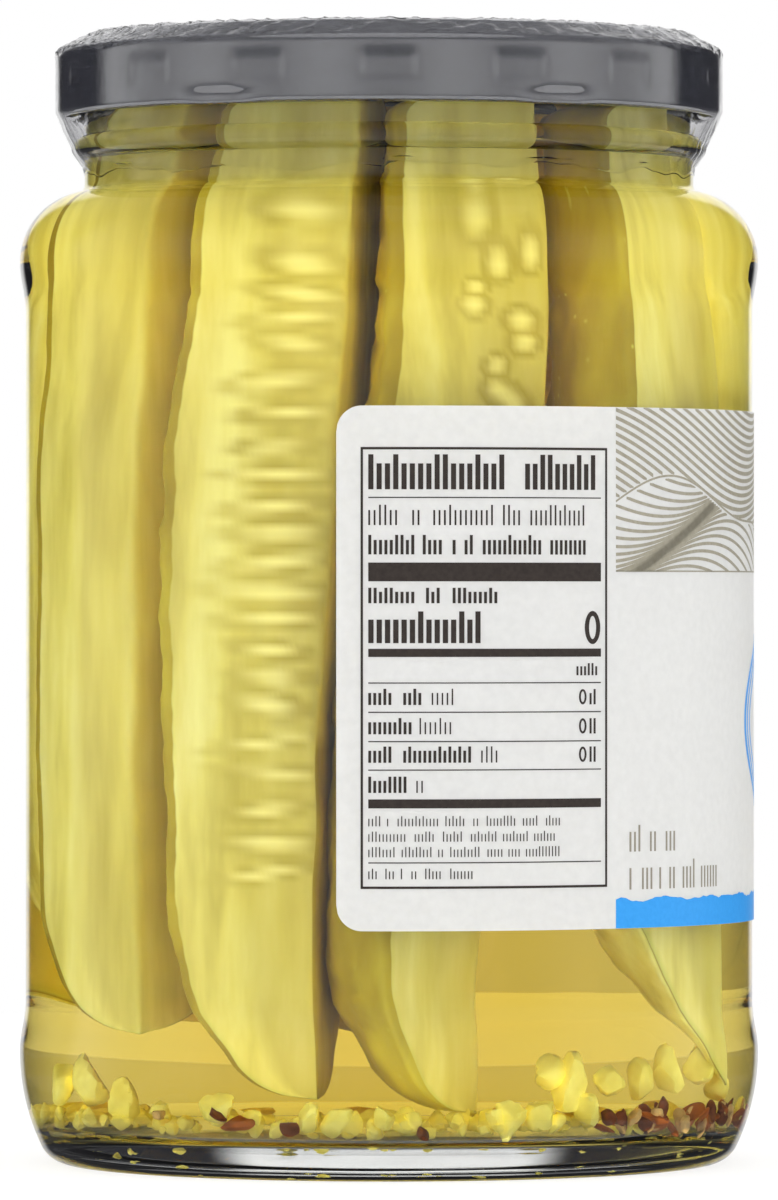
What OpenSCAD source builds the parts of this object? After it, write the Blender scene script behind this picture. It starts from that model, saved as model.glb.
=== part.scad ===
// A twist-off jar of pickle spears: glass jar, pressed metal lug cap, clear shrink seal,
// wrap-around paper label and the brine that fills the jar.
// The origin is the centre of the foot and +Z is up. The label starts at the front, -Y, and runs round
// by +X, so the gap between its ends faces -X.

/* [Glass jar] */
// Height of the glass, from its foot to its sealing rim
jar_h = 143.4; // [119:0.1:190]
// Outer radius of the label panel
panel_r = 46.4; // [44:0.1:56]
// How far the shoulder and heel bands stand out past the label panel
band_proud = 0.75; // [0.3:0.05:1.5]
// Height over which a band eases back into the label panel
band_ease = 6.5; // [4:0.5:9]
// Thickness of the body wall
wall = 2.6; // [1.6:0.1:3.2]
// Thickness of the neck wall
neck_wall = 2.4; // [1.8:0.1:3]
// Outer radius of the neck
neck_r = 38.9; // [32:0.1:41]
// Height of the plain neck between the shoulder and the transfer bead
plain_neck_h = 3.9; // [3.5:0.1:12]
// Radius of the rounded shoulder
shoulder_r = 9; // [7.5:0.1:11]
// Steepness of the straight slope on a shoulder that is much wider than the neck
shoulder_slope = 6; // [5:1:30]
// Thickness of the base above the push-up
base_t = 5.2; // [3.5:0.1:7]

/* [Foot] */
// Height of the heel band's widest line
heel_z = 14.3; // [12:0.1:18]
// Radius of the heel's long curve
heel_sweep_r = 28; // [22:0.5:34]
// Radius of the corner where the heel meets the foot
heel_corner_r = 4; // [3:0.1:5]
// Width of the flat ring that the jar stands on
foot_w = 4.3; // [2:0.1:9]
// Height of the hollow under the base
pushup_h = 2.2; // [1:0.1:3]
// Rise of the inner floor at its middle
floor_dome = 1.6; // [0.5:0.1:2.5]
// Radius of the corner between the inner floor and the wall
floor_corner_r = 7; // [5:0.5:9]

/* [Neck finish] */
// Space between the cap's hem and the transfer bead below it
bead_clear = 2.3; // [1:0.1:4]
// How far the transfer bead stands out
bead_proud = 1.4; // [0.8:0.1:1.5]
// Height of the transfer bead
bead_h = 3.2; // [2.9:0.1:4]
// Number of thread ridges, and of lugs on the cap
thread_count = 6; // [4:1:8]
// How far a thread ridge stands out
thread_proud = 1.1; // [0.8:0.1:1.2]
// Height of a thread ridge at its root in the glass
thread_h = 1.4; // [1:0.1:1.6]
// Height of a thread ridge's flat crest
thread_crest_h = 0.55; // [0.3:0.05:0.9]
// Angle that one thread ridge covers
thread_span = 34; // [20:1:40]
// Slope of a thread ridge
thread_tilt = 5; // [3:0.5:6]

/* [Cap] */
// Space between the neck and the inside of the cap's skirt
skirt_gap = 3.35; // [3.1:0.05:4]
// Height of the cap, from its hem to its top bead
cap_h = 10.4; // [10:0.1:11.5]
// Thickness of the cap's sheet metal
cap_t = 0.25; // [0.2:0.05:0.4]
// Radius of the rolled hem
hem_r = 0.85; // [0.6:0.05:1]
// Depth of the recessed middle panel below the top bead
cap_recess = 1.2; // [0.6:0.1:1.6]
// Width of the slope from the recessed middle panel up to the top bead
cap_slope_w = 3.1; // [1:0.1:6]
// Distance of the rounded corner's centre below the top bead
cap_corner_drop = 3.1; // [2:0.1:3.5]
// Radius of the rounded corner between the top and the skirt
cap_corner_r = 1.4; // [0.8:0.1:1.8]
// Width of one lug
lug_w = 8; // [5:0.5:10]
// Height of one lug
lug_h = 1.3; // [0.8:0.1:1.6]
// How far a lug reaches in past the hem
lug_reach = 1.2; // [0.8:0.1:1.3]
// Number of pressed windows around the skirt
dimple_count = 16; // [8:1:20]
// Width of a pressed window
dimple_w = 6.6; // [4:0.1:8]
// Height of a pressed window
dimple_h = 3.9; // [3:0.1:4.2]
// Depth of a pressed window
dimple_d = 0.3; // [0.1:0.05:0.4]

/* [Shrink seal] */
// Thickness of the clear film
film_t = 0.12; // [0.08:0.01:0.2]
// How far below the transfer bead the film ends
film_tail = 2.5; // [1:0.1:2.9]

/* [Label] */
// Bare height of the label panel below the label
label_low_margin = 10.3; // [2:0.1:20]
// Bare height of the label panel above the label
label_top_margin = 12.7; // [2:0.1:20]
// Thickness of the paper
label_t = 0.15; // [0.08:0.01:0.3]
// Direction of the label's first end, with 0 at +X and -90 at -Y
label_start = -98; // [-180:1:180]
// Angle that the label covers
label_span = 216; // [120:1:330]
// Radius of the label's corners
label_corner_r = 3.2; // [1:0.1:6]

/* [Brine] */
// Depth of the empty space between the brine and the rim
headspace = 7.4; // [4:0.1:10]

/* [Hidden] */
$fn = 96;

// Clearances between pieces that touch on the real jar
brine_gap = 0.05;
label_gap = 0.03;
film_gap = 0.05;
seat_gap = 0.05;

// How far a cutting shape runs past what it cuts
cut = 1;

// Steps along each rounded stretch of an outline
arc_steps = 10;

// Cap, from its top bead down to its hem
cap_r = neck_r + skirt_gap + cap_t;
cap_top = jar_h + seat_gap + cap_t;
hem_z = cap_top - cap_h;
hem_c = [cap_r - hem_r, hem_z + hem_r];
hem_turn = 240;
skirt_z = hem_z + 2 * hem_r;
lug_lift = 0.15;
lug_z = hem_z + lug_lift;
dimple_drop = 0.1;
dimple_top = cap_top - cap_corner_drop - dimple_drop;

// Neck finish: each thread ridge lies over a lug, and falls by lug_rise over half its width
lug_rise = lug_w / 2 * tan(thread_tilt);
thread_z = lug_z + lug_h + seat_gap + lug_rise + thread_h / 2;
thread_root = 0.5;
thread_pitch = 360 / thread_count;
bead_z = hem_z - bead_clear - bead_h / 2;
bead_low = bead_z - bead_h / 2;
bead_r = ((bead_h / 2) ^ 2 + bead_proud ^ 2) / (2 * bead_proud);
bead_c = [neck_r + bead_proud - bead_r, bead_z];
rim_r = neck_wall / 2;

// Body
band_r = panel_r + band_proud;
shoulder_z = bead_low - plain_neck_h - shoulder_r;
neck_fillet_r = 1;
in_panel_r = panel_r - wall;
in_neck_r = neck_r - neck_wall;
in_shoulder_r = shoulder_r - wall;
in_neck_fillet_r = 2;
heel_c = [band_r - heel_sweep_r, heel_z];
heel_across = sqrt((heel_sweep_r - heel_corner_r) ^ 2 - (heel_z - heel_corner_r) ^ 2);
foot_out_r = heel_c[0] + heel_across;
foot_in_r = foot_out_r - foot_w;

// The flat top bead sits on the rim: it starts just outside the bore and ends inside the neck's face
top_bead_in = 0.2;
top_bead_out = 0.7;
cap_bead_in_r = in_neck_r + top_bead_in;
cap_bead_out_r = neck_r - top_bead_out;
cap_panel_r = cap_bead_in_r - cap_slope_w;

// The film comes in below the bead and lies on the neck
film_slack = 0.1;
film_tuck = 0.8;

// Label
label_r = panel_r + label_gap;
label_z = heel_z + band_ease + label_low_margin;
label_h = shoulder_z - band_ease - label_top_margin - label_z;
label_end = label_start + label_span;
// How far a corner's arc runs past the label's edges, so that it meets them at an angle
corner_over = 0.08;

brine_top = jar_h - headspace;

function unit(v) = v / norm(v);
function left_normal(a, b) = let (d = unit(b - a)) [-d[1], d[0]];

// Points on an arc about c, from angle a to angle b
function arc(c, r, a, b) =
    [for (i = [0 : arc_steps]) let (t = a + (b - a) * i / arc_steps) c + r * [cos(t), sin(t)]];

// The direction from c in which a line from p touches the circle of radius r, on the given side
function tangent(c, r, p, side) =
    let (v = p - c)
    atan2(v[1], v[0]) + side * acos(r / norm(v));

// A smooth step from radius r0 at height z0 to radius r1 at height z1
function ease(r0, r1, z0, z1) =
    [for (i = [0 : arc_steps]) let (t = i / arc_steps)
        [r0 + (r1 - r0) * (1 - cos(180 * t)) / 2, z0 + (z1 - z0) * t]];

// A shallow dome from its top on the axis, h above height z, out to radius r
function dome(r, h, z) =
    let (big_r = (r * r + h * h) / (2 * h))
    arc([0, z + h - big_r], big_r, 90, 90 - asin(r / big_r));

// A rounded shoulder about c, a straight slope if the neck is far in, and the fillet up into the neck
function shoulder(c, r, neck, fillet_r) =
    let (
        both = r + fillet_r,
        across = neck + fillet_r - c[0],
        turn = min(90 - shoulder_slope, acos(across / both)),
        rise = (both * cos(turn) - across) / tan(turn)
    )
    concat(
        arc(c, r, 0, turn),
        arc([neck + fillet_r, c[1] + both * sin(turn) + rise], fillet_r, turn + 180, 180)
    );

// A path moved sideways by d, to the left of its direction
function shifted(path, d) =
    [for (i = [0 : len(path) - 1]) let (
        last = len(path) - 1,
        n1 = left_normal(path[max(i - 1, 0)], path[max(i, 1)]),
        n2 = left_normal(path[min(i, last - 1)], path[min(i + 1, last)]),
        m = unit(n1 + n2)
    ) path[i] + d * m / (m * n1)];

function reversed(path) = [for (i = [len(path) - 1 : -1 : 0]) path[i]];

// The heel: a small corner off the foot, then a long curve up to the heel band
function heel() =
    let (turn = atan2(heel_corner_r - heel_z, heel_across))
    concat(
        arc([foot_out_r, heel_corner_r], heel_corner_r, -90, turn),
        arc(heel_c, heel_sweep_r, turn, 0)
    );

function bead() =
    let (
        half = asin(bead_h / 2 / bead_r),
        turn = bead_proud < bead_r ? half : 180 - half
    )
    arc(bead_c, bead_r, -turn, turn);

// The outside of the glass, from the middle of the push-up to the top of the rim's inner side
function glass_outside() = concat(
    dome(foot_in_r, pushup_h, 0),
    heel(),
    ease(band_r, panel_r, heel_z, heel_z + band_ease),
    ease(panel_r, band_r, shoulder_z - band_ease, shoulder_z),
    shoulder([band_r - shoulder_r, shoulder_z], shoulder_r, neck_r, neck_fillet_r),
    bead(),
    arc([neck_r - rim_r, jar_h - rim_r], rim_r, 0, 180)
);

// The inside of the glass drawn in by gap, from the middle of the floor up to the neck
function glass_inside(gap) = concat(
    dome(in_panel_r - floor_corner_r, floor_dome, base_t + gap),
    arc([in_panel_r - floor_corner_r, base_t + floor_corner_r], floor_corner_r - gap, -90, 0),
    shoulder(
        [in_panel_r - in_shoulder_r, shoulder_z], in_shoulder_r - gap,
        in_neck_r - gap, in_neck_fillet_r + gap
    )
);

// The cap's top and skirt, from the axis out over the bead and down to height z on the skirt
function cap_outside(z) = concat(
    [[0, cap_top - cap_recess], [cap_panel_r, cap_top - cap_recess]],
    cap_edge(z)
);

function cap_edge(z) =
    let (
        bead_edge = [cap_bead_out_r, cap_top],
        corner_c = [cap_r - cap_corner_r, cap_top - cap_corner_drop]
    )
    concat(
        [[cap_bead_in_r, cap_top], bead_edge],
        arc(corner_c, cap_corner_r, tangent(corner_c, cap_corner_r, bead_edge, -1), 0),
        [[cap_r, z]]
    );

// The rolled hem, round from the outer face of the skirt to its inner face
function hem() = arc(hem_c, hem_r, 0, -hem_turn);

// The face that the film clings to: down the cap, round its hem, across to the bead and on to the neck
function film_bed() =
    let (
        bead_edge = [neck_r + bead_proud, bead_z],
        tuck = [neck_r + film_slack, bead_low - film_tuck]
    )
    concat(
        cap_edge(skirt_z),
        arc(hem_c, hem_r, 0, tangent(hem_c, hem_r, bead_edge, 1)),
        arc(bead_c, bead_r, 0, tangent(bead_c, bead_r, tuck, 1)),
        [tuck, [neck_r + film_slack, bead_low - film_tail]]
    );

// A stretch of ring centred on direction a, w wide along the arc at radius r
module ring_piece(a, r, w) {
    span = w / r * 180 / PI;
    rotate([0, 0, a])
        rotate_extrude(angle = span, start = -span / 2) children();
}

module thread_ridge(a) {
    rotate([0, 0, a])
        translate([0, 0, thread_z])
            rotate([thread_tilt, 0, 0])
                rotate_extrude(angle = thread_span, start = -thread_span / 2)
                    polygon([
                        [neck_r - thread_root, -thread_h / 2],
                        [neck_r + thread_proud, -thread_crest_h / 2],
                        [neck_r + thread_proud, thread_crest_h / 2],
                        [neck_r - thread_root, thread_h / 2]
                    ]);
}

module jar() {
    color([0.86, 0.93, 0.9, 0.35]) {
        rotate_extrude()
            polygon(concat(glass_outside(), reversed(glass_inside(0))));
        for (i = [0 : thread_count - 1])
            thread_ridge((i + 0.5) * thread_pitch);
    }
}

module cap_lug(a) {
    reach_r = cap_r - 2 * hem_r - lug_reach;
    ring_piece(a, reach_r, lug_w)
        translate([reach_r, lug_z])
            square([lug_reach + hem_r, lug_h]);
}

// A window pressed into the skirt: grow is the sheet's thickness on its inner side
module dimple(a, outer_r, grow) {
    ring_piece(a, cap_r, dimple_w + 2 * grow)
        translate([cap_r - dimple_d - grow, dimple_top - dimple_h - grow])
            square([outer_r - cap_r + dimple_d + grow, dimple_h + 2 * grow]);
}

module cap() {
    pitch = 360 / dimple_count;
    shell = cap_outside(skirt_z);
    color([0.27, 0.28, 0.3])
        difference() {
            union() {
                rotate_extrude()
                    polygon(concat(shell, hem(), reversed(shifted(shell, -cap_t))));
                for (i = [0 : thread_count - 1])
                    cap_lug((i + 0.5) * thread_pitch);
                for (i = [0 : dimple_count - 1])
                    dimple(i * pitch - 90, cap_r - cap_t / 2, cap_t);
            }
            for (i = [0 : dimple_count - 1])
                dimple(i * pitch - 90, cap_r + cut, 0);
        }
}

module shrink_seal() {
    color([0.93, 0.95, 0.96, 0.3])
        rotate_extrude()
            polygon(concat(
                shifted(film_bed(), film_gap),
                reversed(shifted(film_bed(), film_gap + film_t))
            ));
}

// What is cut off a square label corner to round it: side and end are -1 or 1
module label_corner(a, side, z, end) {
    rotate([0, 0, a])
        translate([label_r - cut, 0, z])
            rotate([90, 0, 90])
                linear_extrude(label_t + 2 * cut)
                    scale([side, end])
                        polygon(concat(
                            [[-cut, label_corner_r], [-cut, -cut], [label_corner_r, -cut]],
                            arc([label_corner_r, label_corner_r], label_corner_r + corner_over, 270, 180)
                        ));
}

module label() {
    color([0.93, 0.93, 0.91])
        difference() {
            rotate_extrude(angle = label_span, start = label_start)
                translate([label_r, label_z])
                    square([label_t, label_h]);
            label_corner(label_start, 1, label_z, 1);
            label_corner(label_start, 1, label_z + label_h, -1);
            label_corner(label_end, -1, label_z, 1);
            label_corner(label_end, -1, label_z + label_h, -1);
        }
}

module brine() {
    color([0.8, 0.74, 0.3])
        rotate_extrude()
            polygon(concat(
                glass_inside(brine_gap),
                [[in_neck_r - brine_gap, brine_top], [0, brine_top]]
            ));
}

jar();
cap();
shrink_seal();
label();
brine();
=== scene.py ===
"""Looks for a closed jar of pickle spears: glass, brine, spears, garlic, spices, cap, film and label.

Lengths are in millimetres and angles in degrees, and a mesh is scaled to metres when it is made.
A bearing is measured round the jar from the front, -Y, towards the right-hand side, +X.
"""

import math
import random

import bmesh
import bpy
import numpy as np
from mathutils import Euler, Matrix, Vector


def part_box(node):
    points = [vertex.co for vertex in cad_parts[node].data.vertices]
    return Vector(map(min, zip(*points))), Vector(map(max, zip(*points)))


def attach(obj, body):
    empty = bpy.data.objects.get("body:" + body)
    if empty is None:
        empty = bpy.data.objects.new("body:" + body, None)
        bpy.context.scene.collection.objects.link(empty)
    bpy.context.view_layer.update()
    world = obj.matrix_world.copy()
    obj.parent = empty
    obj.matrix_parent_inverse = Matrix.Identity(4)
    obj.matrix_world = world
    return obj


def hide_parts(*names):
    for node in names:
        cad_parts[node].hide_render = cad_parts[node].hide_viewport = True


MM = 0.001

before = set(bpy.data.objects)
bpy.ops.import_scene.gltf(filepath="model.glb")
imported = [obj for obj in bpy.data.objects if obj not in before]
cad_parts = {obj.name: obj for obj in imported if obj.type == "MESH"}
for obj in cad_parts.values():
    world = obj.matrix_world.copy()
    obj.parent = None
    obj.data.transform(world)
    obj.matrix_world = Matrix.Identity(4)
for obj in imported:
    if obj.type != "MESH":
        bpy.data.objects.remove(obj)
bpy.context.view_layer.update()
scene = bpy.context.scene
scene.view_settings.view_transform = "Standard"


def low_high(node):
    """The lowest and highest corner of a CAD node, in millimetres."""
    low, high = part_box(node)
    return Vector(low) / MM, Vector(high) / MM


# ---------------- sizes, from the frame and the glass walls

JAR_H = low_high("jar")[1].z
BAND_R = low_high("jar")[1].x
CAP_TOP = low_high("cap")[1].z
HEM_Z = low_high("cap")[0].z
CAP_R = low_high("cap")[1].x
LABEL_LOW = low_high("label")[0].z
LABEL_TOP = low_high("label")[1].z
LABEL_R = low_high("label")[1].x
BRINE_TOP = low_high("brine")[1].z
FILM_LOW = low_high("shrink_seal")[0].z

BAND_PROUD = 0.75
PANEL_R = BAND_R - BAND_PROUD
WALL = 2.6
NECK_WALL = 2.4
BEAD_PROUD = 1.4
BEAD_H = 3.2
NECK_R = CAP_R - 3.6
BEAD_Z = HEM_Z - 3.9
SHOULDER_R = 9
SHOULDER_Z = BEAD_Z - BEAD_H / 2 - 3.9 - SHOULDER_R
BAND_EASE = 6.5
HEEL_Z = 14.3
HEEL_SWEEP_R = 28
HEEL_CORNER_R = 4
FOOT_W = 4.3
PUSHUP_H = 2.2
BASE_T = 5.2
FLOOR_DOME = 1.6
FLOOR_CORNER_R = 7
IN_PANEL_R = PANEL_R - WALL
IN_NECK_R = NECK_R - NECK_WALL

LABEL_START = -8
LABEL_SPAN = 216
LABEL_CORNER_R = 3.2
LABEL_T = 0.15


# ---------------- outlines

def arc(cx, cz, r, a, b, n=12):
    """Points on an arc about (cx, cz), from angle a to angle b."""
    t = np.radians(np.linspace(a, b, n + 1))
    return np.column_stack([cx + r * np.cos(t), cz + r * np.sin(t)])


def ease(r0, r1, z0, z1, n=14):
    """A smooth step from radius r0 at height z0 to radius r1 at height z1."""
    t = np.linspace(0, 1, n + 1)
    return np.column_stack([r0 + (r1 - r0) * (1 - np.cos(np.pi * t)) / 2, z0 + (z1 - z0) * t])


def dome(r, h, z, n=14):
    """A shallow dome, from its top on the axis down to radius r at height z."""
    big_r = (r * r + h * h) / (2 * h)
    return arc(0, z + h - big_r, big_r, 90, 90 - math.degrees(math.asin(r / big_r)), n)


def shoulder(cx, cz, r, neck, fillet_r):
    """A rounded shoulder about (cx, cz), then the fillet that turns it up into the neck."""
    across = neck + fillet_r - cx
    turn = math.degrees(math.acos(across / (r + fillet_r)))
    up = math.sqrt((r + fillet_r) ** 2 - across ** 2)
    rounded = arc(cx, cz, r, 0, turn, 20)
    return np.vstack([rounded, arc(neck + fillet_r, cz + up, fillet_r, turn + 180, 180, 6)])


def spaced(path, step):
    """The same path with its long stretches divided, and its repeated points left out."""
    out = [path[0]]
    for p in path[1:]:
        gap = np.hypot(*(p - out[-1]))
        if gap < 1e-4:
            continue
        parts = max(1, math.ceil(gap / step))
        start = out[-1]
        out += [start + (p - start) * k / parts for k in range(1, parts + 1)]
    return np.array(out)


def glass_outside():
    bead_r = ((BEAD_H / 2) ** 2 + BEAD_PROUD ** 2) / (2 * BEAD_PROUD)
    turn = math.degrees(math.asin(BEAD_H / 2 / bead_r))
    across = math.sqrt((HEEL_SWEEP_R - HEEL_CORNER_R) ** 2 - (HEEL_Z - HEEL_CORNER_R) ** 2)
    foot_out_r = BAND_R - HEEL_SWEEP_R + across
    heel_turn = math.degrees(math.atan2(HEEL_CORNER_R - HEEL_Z, across))
    rim_r = NECK_WALL / 2
    return np.vstack([
        dome(foot_out_r - FOOT_W, PUSHUP_H, 0),
        arc(foot_out_r, HEEL_CORNER_R, HEEL_CORNER_R, -90, heel_turn),
        arc(BAND_R - HEEL_SWEEP_R, HEEL_Z, HEEL_SWEEP_R, heel_turn, 0),
        ease(BAND_R, PANEL_R, HEEL_Z, HEEL_Z + BAND_EASE),
        ease(PANEL_R, BAND_R, SHOULDER_Z - BAND_EASE, SHOULDER_Z),
        shoulder(BAND_R - SHOULDER_R, SHOULDER_Z, SHOULDER_R, NECK_R, 1),
        arc(NECK_R + BEAD_PROUD - bead_r, BEAD_Z, bead_r, -turn, turn),
        arc(NECK_R - rim_r, JAR_H - rim_r, rim_r, 0, 180),
    ])


def glass_inside(sunk=0):
    """The inside of the glass, from the middle of the floor up to the neck, sunk into the wall."""
    in_shoulder_r = SHOULDER_R - WALL
    return np.vstack([
        dome(IN_PANEL_R - FLOOR_CORNER_R, FLOOR_DOME, BASE_T - sunk),
        arc(IN_PANEL_R - FLOOR_CORNER_R, BASE_T + FLOOR_CORNER_R, FLOOR_CORNER_R + sunk, -90, 0),
        shoulder(IN_PANEL_R - in_shoulder_r, SHOULDER_Z, in_shoulder_r + sunk, IN_NECK_R + sunk, 2 - sunk),
    ])


# ---------------- meshes

def mesh_piece(name, verts, faces, material, sharp=40, zones=None):
    """A mesh object from points in millimetres. zones are colours for them, which the material reads."""
    mesh = bpy.data.meshes.new(name)
    mesh.from_pydata((np.asarray(verts, float) * MM).tolist(), [], faces)
    mesh.polygons.foreach_set("use_smooth", [True] * len(mesh.polygons))
    mesh.set_sharp_from_angle(angle=math.radians(sharp))
    if zones is not None:
        layer = mesh.color_attributes.new("zones", "FLOAT_COLOR", "POINT")
        layer.data.foreach_set("color", np.asarray(zones, np.float32).ravel())
    mesh.materials.append(material)
    piece = bpy.data.objects.new(name, mesh)
    scene.collection.objects.link(piece)
    return piece


def put(piece, slot, *replaced):
    """Rides a piece on the jar's one body, and hides the CAD nodes that it stands for. slot is not used."""
    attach(piece, "root")
    if replaced:
        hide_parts(*replaced)
    return piece


def revolved(profile, steps, closed=False, shape=None):
    """Points and faces of an outline turned about Z. Its outside lies to the right of its direction.
    shape(bearing, r, z) may return new radii and heights."""
    profile = np.asarray(profile, float)
    bearing = np.arange(steps) * 360 / steps
    r, z = np.meshgrid(profile[:, 0], bearing)[0], np.meshgrid(profile[:, 1], bearing)[0]
    b = np.repeat(bearing[:, None], len(profile), 1)
    if shape is not None:
        r, z = shape(b, r, z)
    angle = np.radians(b - 90)
    grid = np.stack([r * np.cos(angle), r * np.sin(angle), z], -1)
    count = len(profile)
    verts, index = [], np.zeros((steps, count), int)
    for i in range(count):
        if profile[i, 0] < 1e-6:
            index[:, i] = len(verts)
            verts.append(grid[0, i])
        else:
            index[:, i] = len(verts) + np.arange(steps)
            verts.extend(grid[:, i])
    faces = []
    for i in range(count if closed else count - 1):
        k = (i + 1) % count
        for j in range(steps):
            m = (j + 1) % steps
            face = []
            for v in (index[j, i], index[m, i], index[m, k], index[j, k]):
                if v not in face:
                    face.append(int(v))
            faces.append(face)
    return verts, faces


class Parts:
    """Many small shapes gathered into one mesh."""

    def __init__(self):
        self.verts, self.faces, self.zones = [], [], []

    def add(self, verts, faces, zone=None):
        start = len(self.verts)
        self.verts.extend(verts)
        self.faces.extend([[start + v for v in f] for f in faces])
        self.zones.extend([zone or (0, 0, 0, 1)] * len(verts))

    def piece(self, name, material, sharp=40):
        return mesh_piece(name, self.verts, self.faces, material, sharp, self.zones)


def waves(seed, u, v, scale, octaves=4):
    """Smooth seeded unevenness between about -1 and 1, over two coordinates, with features of a size."""
    rng = random.Random(seed)
    total = 0
    for k in range(octaves):
        for _ in range(3):
            turn, phase = rng.uniform(0, 2 * math.pi), rng.uniform(0, 2 * math.pi)
            f = 2 * math.pi / scale * 1.7 ** k
            total = total + np.sin(f * (u * math.cos(turn) + v * math.sin(turn)) + phase) / 1.8 ** k
    return total / 4


# ---------------- materials

def new_material(name, **values):
    """A Principled material with plain values on its own sockets, and its node tree."""
    material = bpy.data.materials.new(name)
    material.use_nodes = True
    tree = material.node_tree
    shader = tree.nodes["Principled BSDF"]
    for socket, value in values.items():
        shader.inputs[socket.replace("_", " ")].default_value = value
    return material, tree, shader


def node(tree, kind, links=(), **settings):
    """A node with its settings. links are (socket, value or output) pairs for its inputs."""
    made = tree.nodes.new("ShaderNode" + kind)
    for key, value in settings.items():
        setattr(made, key, value)
    for socket, value in links:
        if isinstance(value, bpy.types.NodeSocket):
            tree.links.new(value, made.inputs[socket])
        else:
            made.inputs[socket].default_value = value
    return made


def ramp(tree, factor, stops, mode="LINEAR"):
    """A colour ramp over factor. stops are (place, colour) pairs."""
    made = node(tree, "ValToRGB", [("Fac", factor)])
    made.color_ramp.interpolation = mode
    elements = made.color_ramp.elements
    while len(elements) < len(stops):
        elements.new(0.5)
    for element, (place, colour) in zip(elements, stops):
        element.position = place
        element.color = (*colour, 1) if len(colour) == 3 else colour
    return made.outputs["Color"]


def blended(tree, factor, a, b, mode="MIX"):
    """Colour a turned into colour b by factor."""
    made = node(tree, "Mix", data_type="RGBA", blend_type=mode)
    for index, value in ((0, factor), (6, a), (7, b)):
        if isinstance(value, bpy.types.NodeSocket):
            tree.links.new(value, made.inputs[index])
        elif index:
            made.inputs[index].default_value = (*value, 1)
        else:
            made.inputs[index].default_value = value
    return made.outputs[2]


def grain(tree, scale, detail=3, stretch=(1, 1, 1), rough=0.5):
    """Noise over the object's own coordinates, in features per metre."""
    place = node(tree, "TexCoord").outputs["Object"]
    mapped = node(tree, "Mapping", [("Vector", place), ("Scale", stretch)]).outputs["Vector"]
    links = [("Vector", mapped), ("Scale", scale), ("Detail", detail), ("Roughness", rough)]
    return node(tree, "TexNoise", links).outputs["Fac"]


def bump(tree, shader, height, strength, distance):
    made = node(tree, "Bump", [("Height", height), ("Strength", strength), ("Distance", distance)])
    tree.links.new(made.outputs["Normal"], shader.inputs["Normal"])


def glass_material():
    material, tree, shader = new_material(
        "flint_glass", Base_Color=(0.985, 1, 0.985, 1), Roughness=0, IOR=1.5, Transmission_Weight=1)
    bump(tree, shader, grain(tree, 60, 1, (1, 1, 3)), 0.03, 0.0006)
    return material


def wet_glass_material():
    """The wall's inner side where brine wets it. It bends light, and mirrors next to none."""
    material = bpy.data.materials.new("wet_glass")
    material.use_nodes = True
    tree = material.node_tree
    tree.nodes.remove(tree.nodes["Principled BSDF"])
    bend = node(tree, "BsdfRefraction", [("Color", (0.99, 1, 0.99, 1)), ("Roughness", 0.0), ("IOR", 1.5)])
    tree.links.new(bend.outputs[0], tree.nodes["Material Output"].inputs["Surface"])
    return material


def brine_material():
    """Clear yellow-green liquid. It takes blue out of the light much sooner than red."""
    material, tree, _ = new_material(
        "brine", Base_Color=(1, 1, 1, 1), Roughness=0, IOR=1.34, Transmission_Weight=1)
    water = node(tree, "VolumeAbsorption", [("Color", (0.93, 0.80, 0.04, 1)), ("Density", 34)])
    tree.links.new(water.outputs["Volume"], tree.nodes["Material Output"].inputs["Volume"])
    return material


def spear_material():
    """Pickle flesh and skin. The zones are red for skin, and for painted shade in the skin colour low on
    one cut face, and green for seeds, blue for the rim under the skin and alpha for the wet core and the
    darker amber rings round the seeds."""
    material, tree, shader = new_material(
        "pickle", Roughness=0.42, IOR=1.38, Specular_IOR_Level=0.12,
        Subsurface_Weight=0.6, Subsurface_Radius=(1.0, 0.75, 0.2), Subsurface_Scale=0.006)
    shader.subsurface_method = "BURLEY"
    zones = node(tree, "Attribute", attribute_name="zones")
    part = node(tree, "SeparateColor", [("Color", zones.outputs["Color"])])
    skin, seed, rim = part.outputs
    core = zones.outputs["Alpha"]
    streaks = grain(tree, 170, 4, (1, 1, 0.16))
    flesh = ramp(tree, streaks, [
        (0.28, (0.52, 0.44, 0.09)), (0.5, (0.78, 0.71, 0.21)), (0.72, (0.91, 0.87, 0.38))])
    patches = grain(tree, 60, 2, (1, 1, 0.6))
    wet = ramp(tree, patches, [(0.35, (0.44, 0.36, 0.06)), (0.65, (0.66, 0.58, 0.14))])
    flesh = blended(tree, core, flesh, wet)
    flesh = blended(tree, seed, flesh, (0.93, 0.88, 0.40))
    flesh = blended(tree, rim, flesh, (0.60, 0.60, 0.14))
    outline = ramp(tree, rim, [(0.70, (0, 0, 0)), (0.92, (1, 1, 1))])
    flesh = blended(tree, outline, flesh, (0.34, 0.25, 0.035))
    blotches = grain(tree, 90, 4, (1, 1, 0.5))
    skin_colour = ramp(tree, blotches, [
        (0.25, (0.27, 0.19, 0.018)), (0.5, (0.42, 0.32, 0.028)), (0.72, (0.60, 0.51, 0.045))])
    # Pale specks in patches over the skin: painted highlights, as of the warts shining.
    specks = node(tree, "TexVoronoi", [
        ("Vector", node(tree, "TexCoord").outputs["Object"]), ("Scale", 420)]).outputs["Distance"]
    dots = ramp(tree, specks, [(0.05, (1, 1, 1)), (0.16, (0, 0, 0))])
    thin = ramp(tree, grain(tree, 140, 2), [(0.5, (0, 0, 0)), (0.62, (1, 1, 1))])
    dots = blended(tree, 1.0, dots, thin, "MULTIPLY")
    skin_colour = blended(tree, dots, skin_colour, (0.62, 0.60, 0.10))
    # Red brings in the skin colour: the real skin, and the painted shade low on spear_b's second cut face.
    colour = blended(tree, ramp(tree, skin, [(0.3, (0, 0, 0)), (0.6, (1, 1, 1))]), flesh, skin_colour)
    tree.links.new(colour, shader.inputs["Base Color"])
    bump(tree, shader, grain(tree, 700, 3, (1, 1, 0.3)), 0.25, 0.0003)
    return material


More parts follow.
